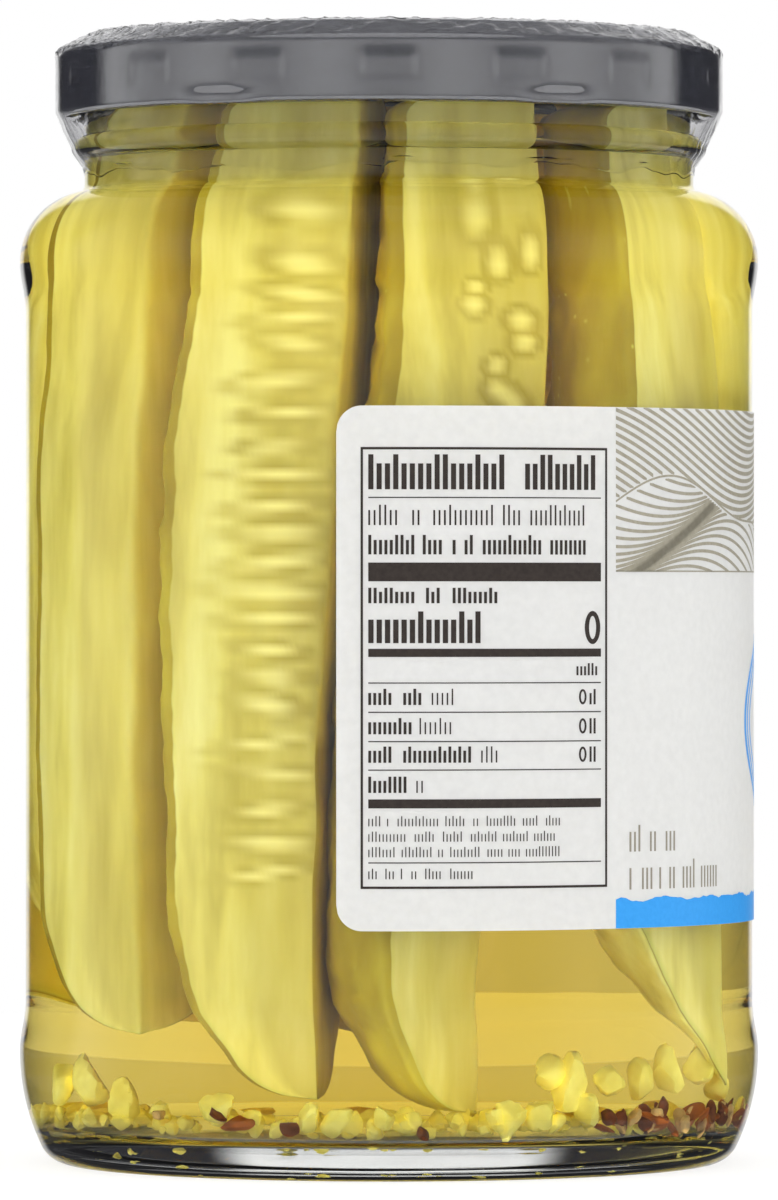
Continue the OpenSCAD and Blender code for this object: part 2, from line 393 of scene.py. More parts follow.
def garlic_material():
    material, tree, shader = new_material(
        "garlic", Roughness=0.35, IOR=1.38, Specular_IOR_Level=0.15,
        Subsurface_Weight=0.5, Subsurface_Radius=(1.0, 0.8, 0.3), Subsurface_Scale=0.002)
    shader.subsurface_method = "BURLEY"
    tone = ramp(tree, grain(tree, 260, 3), [(0.3, (0.72, 0.62, 0.11)), (0.7, (0.90, 0.82, 0.22))])
    tree.links.new(tone, shader.inputs["Base Color"])
    bump(tree, shader, grain(tree, 500, 2), 0.2, 0.0004)
    return material


def spice_material():
    """Seeds and flakes. The zone's colour is the piece's own."""
    material, tree, shader = new_material("spice", Roughness=0.5, IOR=1.4, Specular_IOR_Level=0.2)
    own = node(tree, "Attribute", attribute_name="zones").outputs["Color"]
    shade = ramp(tree, grain(tree, 900, 3), [(0.3, (0.55, 0.55, 0.55)), (0.7, (1, 1, 1))])
    tree.links.new(blended(tree, 1.0, own, shade, "MULTIPLY"), shader.inputs["Base Color"])
    bump(tree, shader, grain(tree, 1500, 2), 0.3, 0.0002)
    return material


def cap_material():
    material, tree, shader = new_material(
        "cap_enamel", IOR=1.5, Coat_Weight=1.0, Coat_Roughness=0.03, Coat_IOR=2.8)
    tone = ramp(tree, grain(tree, 500, 2), [(0.3, (0.014, 0.015, 0.019)), (0.7, (0.019, 0.020, 0.025))])
    tree.links.new(tone, shader.inputs["Base Color"])
    rough = ramp(tree, grain(tree, 120, 3), [(0.3, (0.12, 0.12, 0.12)), (0.7, (0.2, 0.2, 0.2))])
    tree.links.new(rough, shader.inputs["Roughness"])
    bump(tree, shader, grain(tree, 220, 2), 0.03, 0.0005)
    return material


def film_material():
    material, tree, shader = new_material(
        "shrink_film", Base_Color=(0.98, 0.98, 0.99, 1), Roughness=0.0, IOR=1.22, Transmission_Weight=1)
    bump(tree, shader, grain(tree, 260, 3, (1, 1, 0.4)), 0.12, 0.0006)
    return material


def paper_material():
    """White paper that lets a little light through, so that its back glows in the brine."""
    material, tree, shader = new_material("label_paper", Roughness=0.38, IOR=1.45, Specular_IOR_Level=0.4)
    tone = ramp(tree, grain(tree, 900, 4), [(0.3, (0.83, 0.83, 0.82)), (0.7, (0.87, 0.87, 0.86))])
    tree.links.new(tone, shader.inputs["Base Color"])
    bump(tree, shader, grain(tree, 2500, 3), 0.06, 0.0001)
    through = node(tree, "BsdfTranslucent", [("Color", tone)])
    both = node(tree, "MixShader", [(0, 0.28), (1, shader.outputs[0]), (2, through.outputs[0])])
    tree.links.new(both.outputs[0], tree.nodes["Material Output"].inputs["Surface"])
    return material


def ink_material(name, dark, light):
    material, tree, shader = new_material(name, Roughness=0.36, IOR=1.45, Specular_IOR_Level=0.4)
    tone = ramp(tree, grain(tree, 1600, 3), [(0.3, dark), (0.7, light)])
    tree.links.new(tone, shader.inputs["Base Color"])
    bump(tree, shader, grain(tree, 2500, 2), 0.05, 0.0001)
    return material


# ---------------- glass and brine

THREAD_COUNT = 6
THREAD_SPAN = 34
THREAD_PROUD = 1.1
THREAD_H = 1.4
THREAD_Z = HEM_Z + 2.55
THREAD_TILT = 5
GLASS_STEPS = 240
BRINE_SUNK = 0.15


def ripple(bearing, z):
    """The slight unevenness of blown glass on the inside of the wall."""
    turn = np.radians(bearing)
    return 0.10 * np.sin(3 * turn + 0.4 + z / 31) * np.sin(z / 17) + 0.05 * np.sin(7 * turn - z / 23)


def glass_shape(bearing, r, z):
    """Adds the thread ridges to the neck, and the unevenness to the inner wall."""
    pitch = 360 / THREAD_COUNT
    off = (bearing - 90 + 180) % pitch - pitch / 2
    middle = THREAD_Z + NECK_R * np.sin(np.radians(off)) * math.tan(math.radians(THREAD_TILT))
    across = np.clip(1.25 - np.abs(z - middle) / (THREAD_H / 2), 0, 1)
    along = np.clip((THREAD_SPAN / 2 - np.abs(off)) / 2, 0, 1)
    on_neck = (np.abs(r - NECK_R) < 0.05) & (z > BEAD_Z + BEAD_H / 2 + 0.1)
    ridge = np.where(on_neck, THREAD_PROUD * across * along, 0)
    inner = (r < IN_PANEL_R + 0.3) & (z > BASE_T + FLOOR_CORNER_R) & (z < SHOULDER_Z)
    inside = np.clip((z - BASE_T - FLOOR_CORNER_R) / 8, 0, 1) * np.clip((SHOULDER_Z - z) / 8, 0, 1)
    return r + ridge + np.where(inner, ripple(bearing, z) * inside, 0), z


def make_glass():
    inside = glass_inside()
    whole = spaced(np.vstack([glass_outside(), inside[::-1]]), 2.0)
    fine = []
    for a, b in zip(whole[:-1], whole[1:]):
        fine.append(a)
        if abs(a[0] - NECK_R) < 0.02 and abs(b[0] - NECK_R) < 0.02 and a[1] > BEAD_Z:
            parts = max(1, round((b[1] - a[1]) / 0.3))
            fine += [a + (b - a) * k / parts for k in range(1, parts)]
    fine.append(whole[-1])
    verts, faces = revolved(fine, GLASS_STEPS, shape=glass_shape)
    glass = mesh_piece("glass_jar", verts, faces, glass_material(), 50)
    glass.data.materials.append(wet_glass_material())
    wet_low = BASE_T + FLOOR_CORNER_R * 0.4
    for face in glass.data.polygons:
        inward = face.normal.dot(Vector((face.center.x, face.center.y, 0))) < 0
        if inward and wet_low * MM < face.center.z < BRINE_TOP * MM:
            face.material_index = 1
    return put(glass, "glass", "jar")


def make_brine():
    """The brine reaches a little way into the glass, so that no gap shows, and creeps up the wall."""
    creep_w, creep_h = 1.2, 0.5
    level = [
        (IN_NECK_R + BRINE_SUNK, BRINE_TOP + creep_h), (IN_NECK_R - creep_w, BRINE_TOP), (0, BRINE_TOP)]
    profile = spaced(np.vstack([glass_inside(BRINE_SUNK), level]), 2.0)
    verts, faces = revolved(profile, GLASS_STEPS, shape=glass_shape)
    return put(mesh_piece("brine_fill", verts, faces, brine_material(), 50), "brine", "brine")


# ---------------- spears

def smooth_between(places, values, at):
    """Values read off a smooth curve through the given stations."""
    places, values = np.asarray(places, float), np.asarray(values, float)
    slope = np.gradient(values, places)
    i = np.clip(np.searchsorted(places, at) - 1, 0, len(places) - 2)
    h = places[i + 1] - places[i]
    t = (at - places[i]) / h
    return ((2 * t ** 3 - 3 * t ** 2 + 1) * values[i] + (t ** 3 - 2 * t ** 2 + t) * h * slope[i]
            + (3 * t ** 2 - 2 * t ** 3) * values[i + 1] + (t ** 3 - t ** 2) * h * slope[i + 1])


# Below this height a face of the kind "skin" is painted in the skin colour: painted shade on a cut face.
FACE_SKIN_TOP = 58


def seed_spots(kind, rng, z0, z1):
    """Seeds on a cut face, as (share of its width from the core, height, half-width, half-height, tilt)."""
    spots = []
    z = z0 + 0.22 * (z1 - z0)
    while z < z1 - 14 and kind in ("ladder", "round"):
        if kind == "ladder":
            place, half_w, half_h, tilt, step = (0.27, 0.37), (0.17, 0.29), (0.6, 1.1), 3, (3.2, 4.8)
        else:
            place, half_w, half_h, tilt, step = (0.1, 0.52), (0.055, 0.09), (0.9, 1.4), 2, (0.8, 3.2)
        share, wide, high = (rng.uniform(*span) for span in (place, half_w, half_h))
        spots.append((share, z, wide, high, rng.uniform(-tilt, tilt)))
        z += rng.uniform(*step)
    return spots


def spear_mesh(stations, wedge, kinds, foot_round, seed, foot_power=2.3, head_round=5, bare=0):
    """About a quarter of a cucumber. A station is a height, the core's x and y there, a cut face's width
    and the direction of the first face. The body lies clockwise of that face, through the wedge angle.
    kinds are what its two faces show: seeds, nothing, or, for "skin", painted shade in the dark skin colour
    low down.
    Its ends round off over foot_round and head_round, the foot the more bluntly the higher foot_power is.
    Below the height bare it has no dark skin."""
    rng = random.Random(seed)
    st = np.asarray(stations, float)
    z0, z1 = st[0, 0], st[-1, 0]
    rings = int((z1 - z0) / 0.8)
    d = np.linspace(0, 1, rings)
    crowd = 0.5 - 0.5 * np.cos(np.pi * d)
    z = z0 + (z1 - z0) * (0.6 * d + 0.4 * crowd)
    core_x, core_y, width, turn = (smooth_between(st[:, 0], st[:, k], z) for k in range(1, 5))
    core_x = core_x + 0.5 * waves(seed + 21, z, 0 * z, 30, 3)
    core_y = core_y + 0.4 * waves(seed + 22, z, 0 * z, 30, 3)
    low = np.clip((z - z0) / foot_round, 0, 1)
    high = np.clip((z1 - z) / head_round, 0, 1)
    tip = (1 - (1 - low) ** foot_power) ** (1 / foot_power) * (1 - (1 - high) ** 2.6) ** (1 / 2.6)
    reach = width * np.maximum(tip, 0.02)

    n_face, n_skin = 30, 46
    share = np.concatenate([
        np.linspace(0.02, 0.99, n_face), np.ones(n_skin), np.linspace(0.99, 0.02, n_face)])
    swing = np.concatenate([np.zeros(n_face), np.linspace(0, wedge, n_skin), np.full(n_face, wedge)])
    part = np.concatenate([np.zeros(n_face), np.ones(n_skin), np.full(n_face, 2)])
    out_step, turn_step = np.diff(share, prepend=share[0]), np.radians(np.diff(swing, prepend=0))
    around = np.cumsum(np.hypot(out_step, turn_step)) * 20

    zz, ss = np.meshgrid(z, around, indexing="ij")
    angle = np.radians(turn[:, None] - swing[None, :])
    belly = 1 + 0.035 * np.sin(np.radians(swing) * 2 + rng.uniform(0, 6))[None, :] * (part == 1)[None, :]
    edge = 1 + 0.030 * waves(seed, zz, ss * 0.3, 26) + 0.012 * waves(seed + 9, zz, ss, 6)
    radius = reach[:, None] * share[None, :] * belly * edge
    x = core_x[:, None] + radius * np.cos(angle)
    y = core_y[:, None] + radius * np.sin(angle)

    skin = np.broadcast_to((part == 1).astype(float), x.shape).copy()
    seeds = np.zeros_like(x)
    hollow = np.zeros_like(x)
    lift = 0.22 * waves(seed + 3, zz, ss, 17) * np.ones_like(x)
    for face, kind in ((0, kinds[0]), (2, kinds[1])):
        on = (part == face)[None, :]
        # The kind "skin" puts the skin colour on a cut face below that height: painted shade, not skin.
        if kind == "skin":
            skin = np.where(on, np.clip((FACE_SKIN_TOP - zz) / 8, 0, 1), skin)
        for s0, zc, half_w, half_h, tilt in seed_spots(kind, rng, z0, z1):
            off = share[None, :] - s0
            q = (off / half_w) ** 2 + ((zz - zc - tilt * off) / half_h) ** 2
            seeds += np.where(on, np.exp(-q * 1.6), 0)
            # Each seed's groove is dented, and it is also coloured darker amber through the core zone.
            groove = np.where(on, np.exp(-((np.sqrt(q) - 1.35) / 0.4) ** 2), 0)
            hollow += groove
            lift += np.where(on, 0.35 * np.exp(-q * 1.6), 0) - 0.22 * groove
    skin *= np.clip((zz - bare) / 6 + 0.5, 0, 1)
    warts = np.zeros_like(x)
    for _ in range(70):
        zc, sc = rng.uniform(z0 + 4, z1 - 4), rng.uniform(around[n_face], around[n_face + n_skin - 1])
        warts += 0.5 * np.exp(-(((zz - zc) / 1.1) ** 2 + ((ss - sc) / 1.1) ** 2))
    ribs = 0.18 * np.sin(ss / 20 * 9) + 0.25 * waves(seed + 5, zz, ss, 9)
    lift = np.where((part == 1)[None, :], warts + ribs, lift)
    along = np.minimum(tip, 1)[:, None]
    out_x = np.where(part == 1, np.cos(angle), np.where(part == 0, -np.sin(angle), np.sin(angle)))
    out_y = np.where(part == 1, np.sin(angle), np.where(part == 0, np.cos(angle), -np.cos(angle)))
    x, y = x + lift * out_x * along, y + lift * out_y * along
    for _ in range(2):
        x = 0.5 * x + 0.25 * (np.roll(x, 1, 1) + np.roll(x, -1, 1))
        y = 0.5 * y + 0.25 * (np.roll(y, 1, 1) + np.roll(y, -1, 1))

    inward = 1 - share[None, :]
    rim = np.clip(1 - inward * reach[:, None] / 1.6, 0, 1) * (part != 1)[None, :]
    core = 0.45 * np.clip((0.62 - share[None, :]) / 0.2, 0, 1) * (part != 1)[None, :]
    core = core + np.clip(hollow, 0, 1) * 0.7
    skin = np.where((share > 0.94)[None, :], np.clip((zz - bare) / 6 + 0.5, 0, 1), skin)
    seeds, core, rim = np.clip(seeds, 0, 1), np.clip(core, 0, 1), rim * np.ones_like(x)
    zones = np.stack([skin, seeds, rim, core], -1).reshape(-1, 4)
    verts = np.stack([x, y, zz], -1).reshape(-1, 3)
    m = len(share)
    faces = []
    for i in range(rings - 1):
        for j in range(m):
            k = (j + 1) % m
            faces.append([i * m + j, (i + 1) * m + j, (i + 1) * m + k, i * m + k])
    faces.append(list(range(m)))
    faces.append([(rings - 1) * m + j for j in reversed(range(m))])
    return verts, faces, zones


SPEARS = {
    "spear_a": dict(
        stations=[(17, -29, -26.5, 19.2, 128), (50, -30.2, -25.8, 20, 128), (90, -29.3, -25.3, 19.8, 128),
                  (118, -26.2, -20.6, 16.5, 130), (135.4, -22.6, -16.9, 13.6, 130)],
        wedge=88, kinds=("none", "none"), foot_round=24, head_round=4, seed=11),
    "spear_b": dict(
        stations=[(10.3, -8.4, -35, 17.6, 163), (40, -8.6, -37.5, 18.6, 163), (80, -6.9, -38.2, 21.2, 163),
                  (112, -4.6, -34.8, 19.2, 164), (135.8, -3.4, -30.8, 16.8, 165)],
        # Its second face gets the kind "skin": painted shade in the skin colour, low down where it turns
        # towards spear_c.
        wedge=86, kinds=("ladder", "skin"), foot_round=27, head_round=4, seed=12),
    "spear_c": dict(
        stations=[(8.4, 10, -29, 17, 232), (35, 10.8, -28.8, 18, 230), (80, 17.5, -31.5, 21, 209),
                  (112, 18.4, -28.2, 19.2, 202), (135.6, 17, -25.6, 17.2, 199)],
        wedge=88, kinds=("round", "none"), foot_round=24, head_round=4, seed=13),
    "spear_d": dict(
        stations=[(11, 39, -12.5, 20.5, 240), (50, 39.3, -12.8, 21.3, 241), (90, 39.3, -12, 21.2, 241),
                  (116, 34.4, -9.6, 18, 245), (135, 31.2, -7.4, 15.6, 246)],
        wedge=86, kinds=("none", "none"), foot_round=26, foot_power=1.2, head_round=4, bare=48, seed=14),
    "spear_e": dict(
        stations=[(13, 4.5, 1.5, 17, 268), (60, 4.2, 0.5, 18, 266),
                  (95, 4.2, 0.5, 18, 266), (134.5, 3.5, 0.5, 16, 266)],
        wedge=84, kinds=("ladder", "round"), foot_round=22, seed=15),
    "spear_f": dict(
        stations=[(37, 21.5, 3.5, 18, 44), (60, 21.5, 3.6, 18, 44),
                  (95, 21, 3.2, 18, 44), (134.8, 15.5, 2.2, 16, 44)],
        wedge=80, kinds=("round", "ladder"), foot_round=18, bare=140, seed=16),
    "spear_g": dict(
        stations=[(29, 5.5, 17.4, 22.3, 82), (60, 7, 16.8, 23, 84),
                  (95, 8.2, 15.5, 22.5, 88), (134.2, 7.2, 12, 18.5, 92)],
        wedge=80, kinds=("ladder", "round"), foot_round=30, foot_power=1.5, bare=140, seed=17),
    "spear_h": dict(
        stations=[(15, -11.9, 16.1, 21.1, 148), (55, -8.8, 16.5, 22, 148),
                  (92, -8.5, 16, 21, 150), (135.2, -5.6, 12.4, 17.5, 150)],
        wedge=78, kinds=("round", "ladder"), foot_round=22, bare=140, seed=18),
    "spear_i": dict(
        stations=[(24, -21.5, 4, 17, 206), (55, -21, 3.2, 18.5, 206),
                  (92, -20.5, 3, 18.5, 206), (134.6, -15.8, 2.4, 16, 206)],
        wedge=76, kinds=("ladder", "none"), foot_round=20, foot_power=1.6, bare=140, seed=19),
}


def make_spears():
    material = spear_material()
    for name, shape in SPEARS.items():
        verts, faces, zones = spear_mesh(**shape)
        put(mesh_piece(name, verts, faces, material, 180, zones), "pickle", "brine")


# ---------------- garlic and spices on the floor

def chunk(rng, size, flat=1.0, cuts=11, soft=40):
    """A lump about the origin, cut by random planes and rounded at its edges, as points and faces."""
    bm = bmesh.new()
    bmesh.ops.create_icosphere(bm, subdivisions=3, radius=1)
    u = np.array([v.co[:] for v in bm.verts])
    faces = [[v.index for v in f.verts] for f in bm.faces]
    bm.free()
    gauge = np.zeros(len(u))
    for _ in range(cuts):
        n = Vector((rng.gauss(0, 1), rng.gauss(0, 1), rng.gauss(0, 1))).normalized()
        reach = rng.uniform(0.5, 1.0)
        gauge += (np.maximum(u @ np.array(n), 0) / reach) ** soft
    gauge += (1 / 1.15) ** soft
    return u * (gauge ** (-1 / soft))[:, None] * size * np.array([1, 0.85, flat]), faces


def turned(verts, rng, place, tilt=180):
    """The points turned at random and moved to a place."""
    turn = Euler([math.radians(rng.uniform(-tilt, tilt)) for _ in range(3)]).to_matrix()
    return np.asarray(verts) @ np.array(turn).T + np.asarray(place)


def at_bearing(bearing, radius, z):
    a = math.radians(bearing - 90)
    return radius * math.cos(a), radius * math.sin(a), z


def floor_z(radius):
    """The height of the jar's inner floor near the wall, at a distance from the axis."""
    out = max(0.0, radius - IN_PANEL_R + FLOOR_CORNER_R)
    return BASE_T + FLOOR_CORNER_R - math.sqrt(FLOOR_CORNER_R ** 2 - out ** 2)


# Garlic pieces near the front: bearing, distance from the axis, height of the middle, half-size
GARLIC = [
    (-72, 39.0, 11.5, 2.9), (-63, 38.2, 11.0, 3.4), (-55, 37.0, 9.5, 2.6), (-31, 39.2, 8.9, 2.5),
    (-14, 39.6, 7.9, 2.1), (-9, 39.4, 8.0, 2.2), (21, 39.0, 8.2, 2.6), (27, 38.6, 8.6, 2.4),
    (34, 37.8, 11.8, 3.1), (37, 39.2, 8.6, 2.2), (42, 38.0, 12.6, 2.3), (30, 36.5, 12.8, 2.2),
    (50, 37.6, 11.6, 2.5), (58, 37.6, 12.4, 2.6), (67, 37.6, 12.8, 2.4), (-44, 38.0, 8.8, 1.6),
    (4, 38.5, 7.8, 1.3), (74, 38.0, 11.0, 2.0),
]


def make_garlic():
    rng = random.Random(31)
    parts = Parts()
    for bearing, radius, z, size in GARLIC:
        verts, faces = chunk(rng, size, rng.uniform(0.7, 1.0))
        parts.add(turned(verts, rng, at_bearing(bearing, radius, z)), faces)
    for _ in range(150):
        size = rng.uniform(0.5, 1.9)
        verts, faces = chunk(rng, size, rng.uniform(0.6, 1))
        radius = rng.uniform(28, 40.5)
        place = at_bearing(rng.uniform(-88, 88), radius, floor_z(radius) + size * 0.8 + rng.uniform(0, 1.2))
        parts.add(turned(verts, rng, place), faces)
    for k in range(22):
        size = rng.uniform(1.2, 2.4)
        verts, faces = chunk(rng, size, rng.uniform(0.6, 1))
        radius = rng.uniform(32, 39)
        place = at_bearing(92 + k * 8 + rng.uniform(-4, 4), radius, floor_z(radius) + size * 0.7)
        parts.add(turned(verts, rng, place), faces)
    return put(parts.piece("garlic_pieces", garlic_material(), 30), "garlic", "brine")


def make_spices():
    rng = random.Random(47)
    parts = Parts()
    tan, dark, red = (0.72, 0.46, 0.16, 1), (0.20, 0.05, 0.010, 1), (0.42, 0.11, 0.015, 1)
    for k in range(58):
        kind = k % 3
        bearing = rng.uniform(38, 76) if k < 46 else rng.uniform(-80, 130)
        radius = rng.uniform(38.5, 41.6)
        place = at_bearing(bearing, radius, floor_z(radius) + rng.uniform(0.7, 2.2))
        if kind == 0:
            verts, faces = chunk(rng, rng.uniform(0.9, 1.3), 0.6)
            parts.add(turned(verts, rng, place), faces, tan)
        elif kind == 1:
            verts, faces = chunk(rng, rng.uniform(1.2, 2.3), 0.25, 6)
            parts.add(turned(verts, rng, place, 40), faces, red)
        else:
            verts, faces = chunk(rng, rng.uniform(0.8, 1.6), 0.4, 6)
            parts.add(turned(verts, rng, place), faces, dark)
    return put(parts.piece("spices", spice_material(), 30), "spice", "brine")


# ---------------- cap and film

CAP_T = 0.25
HEM_R = 0.85
CAP_RECESS = 1.2
CORNER_R = 1.4
CORNER_DROP = 3.1
WINDOW_COUNT = 16
WINDOW_W = 6.6
WINDOW_H = 3.9
WINDOW_D = 0.32
WINDOW_TOP = CAP_TOP - CORNER_DROP - 0.1
PANEL_EDGE = IN_NECK_R - 2.9
PANEL_Z = CAP_TOP - CAP_RECESS
CAP_STEPS = 640
FILM_STEPS = 480
FILM_GAP = 0.05


def cap_top_edge():
    """From the top bead's inner edge, out over the rounded corner, down to the hem on the skirt."""
    bead_out = NECK_R - 0.7
    cx, cz = CAP_R - CORNER_R, CAP_TOP - CORNER_DROP
    v = np.array([bead_out - cx, CORNER_DROP])
    start = math.degrees(math.atan2(v[1], v[0]) - math.acos(CORNER_R / np.hypot(*v)))
    return np.vstack([
        [(IN_NECK_R + 0.2, CAP_TOP), (bead_out, CAP_TOP)],
        arc(cx, cz, CORNER_R, start, 0, 8),
        [(CAP_R, HEM_Z + 2 * HEM_R)],
    ])


def soft_box(a, half, edge):
    """1 within half of 0, falling smoothly to 0 over edge."""
    t = np.clip((half - np.abs(a)) / edge + 0.5, 0, 1)
    return t * t * (3 - 2 * t)


def cap_shape(bearing, r, z):
    """Presses the windows into the skirt, and the lugs into the hem."""
    pitch = 360 / WINDOW_COUNT
    off = (bearing + pitch / 2) % pitch - pitch / 2
    arc_off = np.radians(off) * CAP_R
    level = soft_box(z - WINDOW_TOP + WINDOW_H / 2 + 0.6, WINDOW_H / 2 - 0.3, 2.2)
    window = soft_box(arc_off, WINDOW_W / 2, 1.5) * level
    skirt = r > CAP_R - 1.0
    r = r - np.where(skirt, WINDOW_D * window, 0)
    lug_pitch = 360 / THREAD_COUNT
    lug_off = np.radians(bearing % lug_pitch - lug_pitch / 2) * CAP_R
    inner = (r < CAP_R - HEM_R) & (z < HEM_Z + 1.6) & (r > CAP_R - 2.2)
    r = r - np.where(inner, 1.2 * soft_box(lug_off, 4, 1.2), 0)
    arch = soft_box(lug_off, 4.6, 5.0)
    height = soft_box(z - HEM_Z - 0.9, 0.9, 2.0)
    outward = np.clip((r - CAP_R + HEM_R) / HEM_R, 0, 1)
    r = r - 0.45 * arch * height * outward
    return r, z


def make_cap():
    outer = np.vstack([[(0, PANEL_Z), (PANEL_EDGE, PANEL_Z)], cap_top_edge()])
    hem = arc(CAP_R - HEM_R, HEM_Z + HEM_R, HEM_R, 0, -235, 16)
    inner = cap_top_edge()[::-1] - [CAP_T, 0]
    inner[:, 1] -= np.where(inner[:, 1] > CAP_TOP - CORNER_DROP, CAP_T, 0)
    panel = [(PANEL_EDGE, PANEL_Z - CAP_T), (0, PANEL_Z - CAP_T)]
    path = np.vstack([outer, hem, inner, panel])[::-1]
    path = spaced(path, 0.45)
    keep = [0]
    for i in range(1, len(path) - 1):
        if path[i, 0] > 30 or path[i, 0] - path[keep[-1], 0] > 3 or path[keep[-1], 0] - path[i, 0] > 3:
            keep.append(i)
    keep.append(len(path) - 1)
    path = path[keep]
    path[0, 0] = path[-1, 0] = 0
    verts, faces = revolved(path, CAP_STEPS, shape=cap_shape)
    return put(mesh_piece("metal_cap", verts, faces, cap_material(), 50), "cap_paint", "cap")


FILM_T = 0.08


def film_shape(bearing, r, z):
    """Creases: sharp ones along the top edge, and pleats where the film shrinks in below the hem."""
    turn = bearing * math.pi / 180 * CAP_R
    pleat = waves(71, turn, z * 0.35, 7, 2)
    crease = np.abs(waves(72, turn, z * 1.2, 5, 3))
    tail = np.clip((HEM_Z + 0.4 - z) / 2.2, 0, 1)
    top = np.clip((z - CAP_TOP + 3.0) / 0.8, 0, 1)
    creased = 1 - np.abs(waves(74, turn, z * 2.0, 6, 4))
    shrunk = np.clip((z - FILM_LOW - 0.5) / 1.5, 0, 1)
    r = r + tail * shrunk * (0.05 + 0.10 * pleat + 0.10 * crease) + top * 0.32 * creased ** 3
    z = z + top * 0.22 * creased ** 3 + np.where(z < BEAD_Z - 3, 0.7 * waves(73, turn, 0 * z, 17, 4), 0)
    return r, z


def make_film():
    bead_r = ((BEAD_H / 2) ** 2 + BEAD_PROUD ** 2) / (2 * BEAD_PROUD)
    bead_low = BEAD_Z - BEAD_H / 2
    bed = np.vstack([
        cap_top_edge(),
        arc(CAP_R - HEM_R, HEM_Z + HEM_R, HEM_R, 0, -30, 4),
        arc(NECK_R + BEAD_PROUD - bead_r, BEAD_Z, bead_r, 0, -34, 4),
        [(NECK_R + 0.05, bead_low - 0.8), (NECK_R + 0.02, FILM_LOW + 1.0), (NECK_R - 0.2, FILM_LOW + 0.3)],
    ])
    bed = spaced(bed, 0.5)
    along = np.gradient(bed, axis=0)
    normal = np.column_stack([-along[:, 1], along[:, 0]]) / np.hypot(*along.T)[:, None]
    thick = FILM_T * np.clip((bed[:, 1] - FILM_LOW - 0.35) / 0.8, 0.12, 1)
    inner, outer = bed + normal * FILM_GAP, bed + normal * (FILM_GAP + thick[:, None])
    loop = np.vstack([inner, outer[::-1]])
    verts, faces = revolved(loop, FILM_STEPS, closed=True, shape=film_shape)
    return put(mesh_piece("clear_film", verts, faces, film_material(), 180), "clear_film", "shrink_seal")


# ---------------- label

def wrapped(bearings, lows, highs, r, t, rows=1):
    """A thin sheet bent round the jar, from its lower to its upper edge at each bearing."""
    bearings, lows, highs = (np.asarray(a, float) for a in (bearings, lows, highs))
    a = np.radians(bearings - 90)
    n, m = len(a), rows + 1
    verts = []
    for radius in (r, r + t):
        for k in range(m):
            z = lows + (highs - lows) * k / rows
            verts += list(zip(radius * np.cos(a), radius * np.sin(a), z))

    def at(side, k, i):
        return side * m * n + k * n + i

    faces = []
    for i in range(n - 1):
        for k in range(rows):
            faces.append([at(1, k, i), at(1, k, i + 1), at(1, k + 1, i + 1), at(1, k + 1, i)])
            faces.append([at(0, k, i), at(0, k + 1, i), at(0, k + 1, i + 1), at(0, k, i + 1)])
        faces.append([at(0, 0, i), at(0, 0, i + 1), at(1, 0, i + 1), at(1, 0, i)])
        faces.append([at(0, rows, i), at(1, rows, i), at(1, rows, i + 1), at(0, rows, i + 1)])
    for k in range(rows):
        faces.append([at(0, k, 0), at(1, k, 0), at(1, k + 1, 0), at(0, k + 1, 0)])
        faces.append([at(0, k, n - 1), at(0, k + 1, n - 1), at(1, k + 1, n - 1), at(1, k, n - 1)])
    return verts, faces


INK_R = LABEL_R + 0.005
INK_T = 0.02
DEGREE = math.radians(1) * LABEL_R


def bar(parts, b0, b1, z0, z1):
    """A plain printed bar between two bearings and two heights."""
    steps = max(2, math.ceil(abs(b1 - b0) / 1.2) + 1)
    b = np.linspace(b0, b1, steps)
    parts.add(*wrapped(b, np.full(steps, z0), np.full(steps, z1), INK_R, INK_T))


def strokes(parts, rng, b0, length, z0, z1, pitch, weight):
    """A stand-in for a printed word: upright strokes of uneven height, with no letters in them."""
    count = max(1, int(length / pitch))
    for k in range(count):
        left = b0 + k * pitch / DEGREE
        height = z1 if rng.random() < 0.3 else z0 + (z1 - z0) * 0.74
        bar(parts, left, left + pitch * weight / DEGREE, z0, height)


def words(parts, seed, b0, lengths, z0, z1, pitch, weight, space):
    rng = random.Random(seed)
    for length in lengths:
        strokes(parts, rng, b0, length, z0, z1, pitch, weight)
        b0 += (length + space) / DEGREE
    return b0


def ring_mark(parts, bearing, z, half_w, half_h, line):
    """An upright oval ring."""
    n = max(32, math.ceil(2 * math.pi * max(half_w, half_h) / 1.2))
    t = np.radians(np.linspace(0, 360, n + 1))
    outer = np.column_stack([np.cos(t) * half_w, np.sin(t) * half_h])
    inner = np.column_stack([np.cos(t) * (half_w - line), np.sin(t) * (half_h - line)])
    verts, faces = [], []
    for radius in (INK_R, INK_R + INK_T):
        for loop in (outer, inner):
            for s, dz in loop[:-1]:
                a = math.radians(bearing + s / DEGREE - 90)
                verts.append((radius * math.cos(a), radius * math.sin(a), z + dz))
    for i in range(n):
        k = (i + 1) % n
        faces.append([2 * n + i, 2 * n + k, 3 * n + k, 3 * n + i])
        faces.append([i, n + i, n + k, k])
        faces.append([i, k, 2 * n + k, 2 * n + i])
        faces.append([n + i, 3 * n + i, 3 * n + k, n + k])
    parts.add(verts, faces)


TABLE_LEFT, TABLE_RIGHT = -4.3, 35.4
TABLE_LOW, TABLE_TOP = 36.3, 90.6


